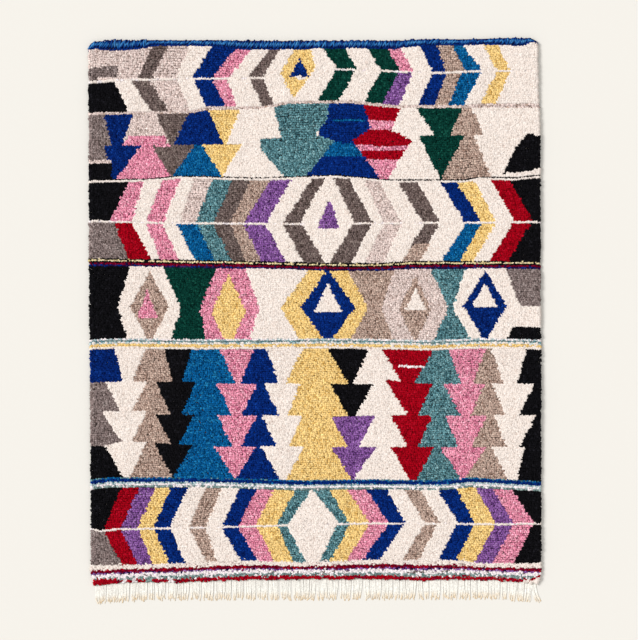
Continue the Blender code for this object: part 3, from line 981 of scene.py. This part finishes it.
# High chevrons
# The last band, under the edging: slanting stripes about a cream line, and a yellow lozenge
# with a navy tent inside it where they turn.
EDGING_FOOT = line((88, 49.8), (92, 48.2), (97, 47.1), (100.5, 49), (107, 49.5), (118, 49.6),
                   (127, 49.2), (138, 48.2), (147, 46.8), (156, 45.1), (185, 44.9), (212, 45.7),
                   (233, 47.8), (250, 49), (300, 49), (320, 48), (397, 48.3), (404, 47.3),
                   (419, 45.7), (438, 44.6), (447, 44.2), (463, 45), (485, 44), (505, 44.6),
                   (515, 45.3), (522, 45.7), (527, 44), (532, 41.8), (537, 42.8))
HIGH_MIDDLE = line((90, 81), (120, 80), (264, 78), (335, 69), (356, 70), (440, 73), (480, 71),
                   (540, 71))
HIGH_MIDDLE_FOOT = line((90, 84), (130, 81), (264, 79), (335, 70), (356, 71), (440, 74),
                        (480, 72), (540, 72))
HIGH_UPPER = Tier(beside(EDGING_FOOT, 0.6), beside(HIGH_MIDDLE, -1.0), (
    Field("light beige", 152, 138), Field("taupe", 168, 152), Field("light beige", 190, 176),
    Field("cream", 212, 192), Field("navy", 236, 212), Field("pink", 252, 230),
    Field("cream", 270, 248), Field("taupe", 280, 264), Field("cream", 322, 337),
    Field("green", 345, 357), Field("cream", 367, 380), Field("green", 388, 400),
    Field("pink", 402, 413), Field("cream", 420, 432), Field("navy", 437, 446),
    Field("tan", 452, 466), Field("blue", 464, 482), Field("cream", 483, 496),
    Field("yellow", 498, 510), Field("cream", PAST_SIDE, PAST_SIDE),
))
HIGH_LOWER = Tier(HIGH_MIDDLE_FOOT, LINE_1_2, (
    Field("black", 115, 129), Field("cream", 131, 152), Field("taupe", 149, 169),
    Field("light beige", 178, 190), Field("cream", 194, 206), Field("navy", 212, 225),
    Field("pink", 228, 237), Field("cream", 250, 262), Field("taupe", 264, 274),
    Field("cream", 336, 318), Field("green", 356, 340), Field("cream", 380, 364),
    Field("green", 398, 382), Field("purple", 413, 400), Field("cream", 432, 418),
    Field("navy", 446, 434), Field("tan", 462, 448), Field("blue", 482, 464),
    Field("cream", 496, 481), Field("yellow", 510, 496), Field("cream", PAST_SIDE, PAST_SIDE),
))
HIGH_SHAPES = (
    Shape("grey", ((85, 68), (118, 66), (118, 76), (85, 80))),
    Shape("yellow", ((296, 47), (311, 47), (316, 68), (294, 99), (280, 73))),
    Shape("navy", ((300, 58), (309, 77), (290, 77))),
    Shape("cream", ((295, 77), (306, 77), (306, 79), (295, 79))),
)
HIGH_STRIPES = (Stripe("cream", 2.0, "white", 0.3),)
tie("pile_high_chevrons",
    stripe_knots(beside(EDGING_FOOT, -0.9), (Stripe("navy", 1.5),))
    + tier_knots(HIGH_UPPER, HIGH_SHAPES)
    + lay_over(stripe_knots(beside(HIGH_MIDDLE, -1.0), HIGH_STRIPES, HIGH_MIDDLE_FOOT),
               HIGH_SHAPES[1:3])
    + tier_knots(HIGH_LOWER, HIGH_SHAPES), 8)

# Edging
# The warps' upper ends are turned under, and blue wool is wound over them in a thick roll, with a
# painted highlight on its crown and painted shade, nearly black, at both feet. Its last end is left
# loose at the right corner.
EDGING_BACK = line((88, 48.6), (90, 45), (94, 41), (103, 40.8), (115, 39), (127, 39.8), (140, 39.3),
                   (157, 40.1), (196, 40.4), (213, 39.8), (240, 40.3), (385, 40.3), (402, 39.8),
                   (429, 39), (457, 39.3), (482, 38.8), (500, 38), (519, 37.4), (529, 38.2),
                   (534, 39.8), (537, 42))
EDGING_LEFT = 88.2
EDGING_RIGHT = 534
TURN_PITCH = 0.0072
TURN_RADIUS = 0.0031
TURN_STEPS = 8
TURN_SLANT = 0.026
TURN_FROM = -35
TURN_TO = 215
TURN_THIN = 0.75
TURN_STRAY = 0.0021
TURN_SWAY = 0.0006
TURN_LUMP = 0.0010
TURN_TONE_STRAY = 0.30
FIBRE_TONE_STRAY = 0.45
ROLL_MIDDLE = 0.0088
ROLL_LIFT = 0.0080
ROLL_FULL_REACH = 0.012
ROLL_CORE_RADIUS = 0.0070
ROLL_CORE_POINTS = 90
ROLL_CORES = (0.3, 0.7)
YARN_FLECK = 0.4
LOOSE_END_RISE = 0.006
LOOSE_END_FALL = 0.0012
PATH_SIDES = 5
CORE_SIDES = 8
LOOSE_END = ((526, 38.8), (529, 38.9), (532, 39.6), (534.5, 40.8), (536.8, 42.2))


def yarn_tree():
    """Winds a yarn of a place's own radius along every path, closed at both of its ends."""
    tree, given = new_tree("yarns", (("Sides", "NodeSocketInt"), ("Wool", "NodeSocketMaterial")))
    curve = Wire.node(tree, "GeometryNodeMeshToCurve", {}, {"Mesh": given("Places")})
    sized = Wire.node(tree, "GeometryNodeSetCurveRadius", {},
                      {"Curve": curve, "Radius": named_value(tree, "FLOAT", "radius")})
    ring = Wire.node(tree, "GeometryNodeCurvePrimitiveCircle", {},
                     {"Resolution": given("Sides"), "Radius": 1.0})
    tube = Wire.node(tree, "GeometryNodeCurveToMesh", {},
                     {"Curve": sized, "Profile Curve": ring, "Fill Caps": True,
                      "Scale": named_value(tree, "FLOAT", "radius")})
    smooth = Wire.node(tree, "GeometryNodeSetShadeSmooth", {}, {"Geometry": tube})
    solid = Wire.node(tree, "GeometryNodeRealizeInstances", {}, {"Geometry": smooth})
    dressed = Wire.node(tree, "GeometryNodeSetMaterial", {},
                        {"Geometry": solid, "Material": given("Wool")})
    sink = tree.nodes.new("NodeGroupOutput")
    tree.links.new(dressed.socket, sink.inputs[0])
    return tree


def path_mesh(name, paths):
    """A mesh of open paths, from lists of (place, radius, colour) points."""
    places, radii, shades, edges = [], [], [], []
    for path in paths:
        first = len(places)
        for place, radius, shade in path:
            places.append(place)
            radii.append(radius)
            shades.append((*shade, 1.0))
        edges += [(number, number + 1) for number in range(first, len(places) - 1)]
    mesh = bpy.data.meshes.new(name + "_paths")
    mesh.from_pydata(places, edges, [])
    for label, kind, slot, values in (
            ("radius", "FLOAT", "value", radii),
            ("yarn", "FLOAT_COLOR", "color", np.array(shades).ravel()),
            # A rise and root of 1 keep these yarns clear of the knots' painted root shade.
            ("rise", "FLOAT", "value", [1.0] * len(radii)),
            ("root", "FLOAT", "value", [1.0] * len(radii)),
            ("fleck", "FLOAT", "value", [YARN_FLECK] * len(radii))):
        mesh.attributes.new(label, kind, "POINT").data.foreach_set(slot, values)
    return mesh


yarns_tree = yarn_tree()
# The roll's blue wool, from the painted shade at its feet to the painted highlight on its crown.
ROLL_BLUES_SHADED_TO_LIT = [linear(c) for c in ((8, 14, 62), (12, 44, 116), (26, 86, 152), (72, 138, 190))]


def lit_blue_at(sideways, lift):
    """The blue of a turn at a place over the roll, from -1 at its foot to 1 at its back, with a
    painted highlight on the crown and painted shade at the foot and back.
    """
    place = min(max((1 - abs(sideways) ** 1.6) * 2.4 + lift, 0.0), 2.999)
    low = int(place)
    return ROLL_BLUES_SHADED_TO_LIT[low] + (ROLL_BLUES_SHADED_TO_LIT[low + 1] - ROLL_BLUES_SHADED_TO_LIT[low]) * (place - low)


def roll_at(pixel):
    """The roll at a pixel across the rug: its back, its foot, and how thick it is, from 0 to 1."""
    back, foot = along(EDGING_BACK(pixel)), along(EDGING_FOOT(pixel))
    return back, foot, min(1.0, (back - foot) / 2 / ROLL_FULL_REACH)


def roll_paths():
    """The turns of wool over the edging, each from its foot over the crown and down the back."""
    paths = []
    left, right = across(EDGING_LEFT), across(EDGING_RIGHT)
    count = round((right - left) / TURN_PITCH)
    for number in range(count):
        middle = left + (right - left) * (number + 0.5) / count
        slant = TURN_SLANT * draws.uniform(0.0, 2.0)
        lump = draws.normal(0, TURN_LUMP)
        stray_back, stray_foot = draws.normal(0, TURN_STRAY, 2)
        lift = draws.normal(0.0, TURN_TONE_STRAY)
        radius = TURN_RADIUS * draws.uniform(0.85, 1.2)
        path = []
        for step in range(TURN_STEPS + 1):
            share = step / TURN_STEPS
            turn = math.radians(TURN_FROM + (TURN_TO - TURN_FROM) * share)
            x = middle + slant * (share - 0.5) + draws.normal(0, TURN_SWAY)
            x = min(max(x, left), right)
            back, foot, thick = roll_at(RUG_MIDDLE_PIXEL + (x - middle_x) / PIXEL)
            back += stray_back * thick - radius
            foot += stray_foot * thick + radius
            reach = (back - foot) / 2 + lump
            height = ROLL_MIDDLE + math.sin(turn) * (ROLL_LIFT + lump) * thick
            place = (x, (back + foot) / 2 - math.cos(turn) * reach, height)
            tone = lift + draws.normal(0.0, FIBRE_TONE_STRAY)
            path.append((place, radius * (TURN_THIN if step in (0, TURN_STEPS) else 1.0),
                         lit_blue_at(-math.cos(turn), tone)))
        paths.append(path)
    loose = []
    for number, (x, y) in enumerate(LOOSE_END):
        height = ROLL_MIDDLE + LOOSE_END_RISE - LOOSE_END_FALL * number
        loose.append(((across(x), along(y), height), TURN_RADIUS, ROLL_BLUES_SHADED_TO_LIT[0] * 0.5))
    paths.append(loose)
    return paths


def core_paths():
    """The turned-under warps inside the roll, as two thick cords side by side."""
    paths = []
    for part in ROLL_CORES:
        path = []
        for pixel in np.linspace(EDGING_LEFT + 2, EDGING_RIGHT - 3, ROLL_CORE_POINTS):
            back, foot, thick = roll_at(pixel)
            # The cords take the roll's darkest blue as painted shade, seen in the gaps between the
            # turns.
            path.append(((across(pixel), foot + (back - foot) * part, ROLL_MIDDLE),
                         ROLL_CORE_RADIUS * thick, ROLL_BLUES_SHADED_TO_LIT[0]))
        paths.append(path)
    return paths


edging = grow("edging_turns", path_mesh("edging_turns", roll_paths()), yarns_tree,
              {"Sides": PATH_SIDES, "Wool": knotted_wool})
core = grow("edging_core", path_mesh("edging_core", core_paths()), yarns_tree,
            {"Sides": CORE_SIDES, "Wool": knotted_wool})
for piece in (edging, core):
    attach(piece, "root")
    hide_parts("rug")

# Fringe
# The warps' lower ends, undyed wool left loose in small flat bundles on the floor.
# Their cut tips have come untwisted and have yellowed.
BUNDLES = 74
BUNDLE_YARNS = 4
BUNDLE_FULL = 0.90
FRINGE_LEFT = 94.5
FRINGE_RIGHT = 537
FRINGE_RADIUS = 0.0031
FRINGE_FLATNESS = 0.42
FRINGE_SHORTEST = 0.078
FRINGE_LONGEST = 0.092
FRINGE_STEPS = 9
FRINGE_BOW = 1.6
FRINGE_RADII = (0.85, 1.15)
TIP_YELLOWING = (0.3, 1.0)
FRINGE_ROOT_UNDER = 0.010
SPLAYED_BEND = 0.016
BUNDLE_BEND = 0.0026
BUNDLE_STRAY = 0.14
YARN_STRAY = 0.0014
YARN_SWAY = 0.0004
SHADE_MOST = 0.6
CURL_FROM = 0.62
CURL_REACH = 0.0030
TIP_FROM = 0.85
TIP_THIN = 0.4
FRINGE_SIDES = 6
WARP_CREAM = linear((231, 228, 220))
WARP_TIP = linear((206, 174, 124))
WARP_SHADE = linear((224, 220, 211))


def fringe_paths():
    """Bundles of warp ends side by side, from under the pile's edge to their loose tips."""
    paths = []
    left, right = across(FRINGE_LEFT), across(FRINGE_RIGHT)
    wide = (right - left) / BUNDLES
    for bundle in range(BUNDLES):
        middle = left + wide * (bundle + 0.5 + draws.uniform(-BUNDLE_STRAY, BUNDLE_STRAY))
        bend = SPLAYED_BEND if bundle == BUNDLES - 1 else draws.normal(0.0, BUNDLE_BEND)
        for number in range(BUNDLE_YARNS):
            spread = (number + 0.5) / BUNDLE_YARNS - 0.5
            root_x = middle + spread * wide * BUNDLE_FULL
            root = end_at(root_x, 1) + FRINGE_ROOT_UNDER
            reach = draws.uniform(FRINGE_SHORTEST, FRINGE_LONGEST)
            stray = draws.normal(0.0, YARN_STRAY)
            radius = FRINGE_RADIUS * draws.uniform(*FRINGE_RADII)
            tone = draws.uniform(0.0, SHADE_MOST)
            curl = draws.normal(0.0, CURL_REACH)
            start = draws.uniform(0.0, 2 * math.pi)
            path = []
            for step in range(FRINGE_STEPS + 1):
                share = step / FRINGE_STEPS
                age = max(0.0, share - CURL_FROM) / (1 - CURL_FROM)
                sway = (bend + stray) * share ** 2 * FRINGE_BOW
                sway += draws.normal(0.0, YARN_SWAY) * share
                sway += curl * age * math.sin(start + age * 2 * math.pi)
                height = radius * (1.15 - 0.2 * share)
                shade = WARP_CREAM + (WARP_SHADE - WARP_CREAM) * tone * (1 - share)
                shade = shade + (WARP_TIP - shade) * age * draws.uniform(*TIP_YELLOWING)
                thin = 1.0 - TIP_THIN * max(0.0, share - TIP_FROM) / (1 - TIP_FROM)
                place = (root_x + sway, root - (reach + FRINGE_ROOT_UNDER) * share, height)
                path.append((place, radius * thin, shade))
            paths.append(path)
    return paths


fringe = grow("fringe_yarns", path_mesh("fringe_yarns", fringe_paths()), yarns_tree,
              {"Sides": FRINGE_SIDES, "Wool": knotted_wool})
fringe.data.transform(Matrix.Diagonal((1, 1, FRINGE_FLATNESS, 1)))
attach(fringe, "root")
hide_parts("fringe")

bpy.data.objects.remove(the_knot, do_unlink=True)
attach(ground, "root")
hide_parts("rug")
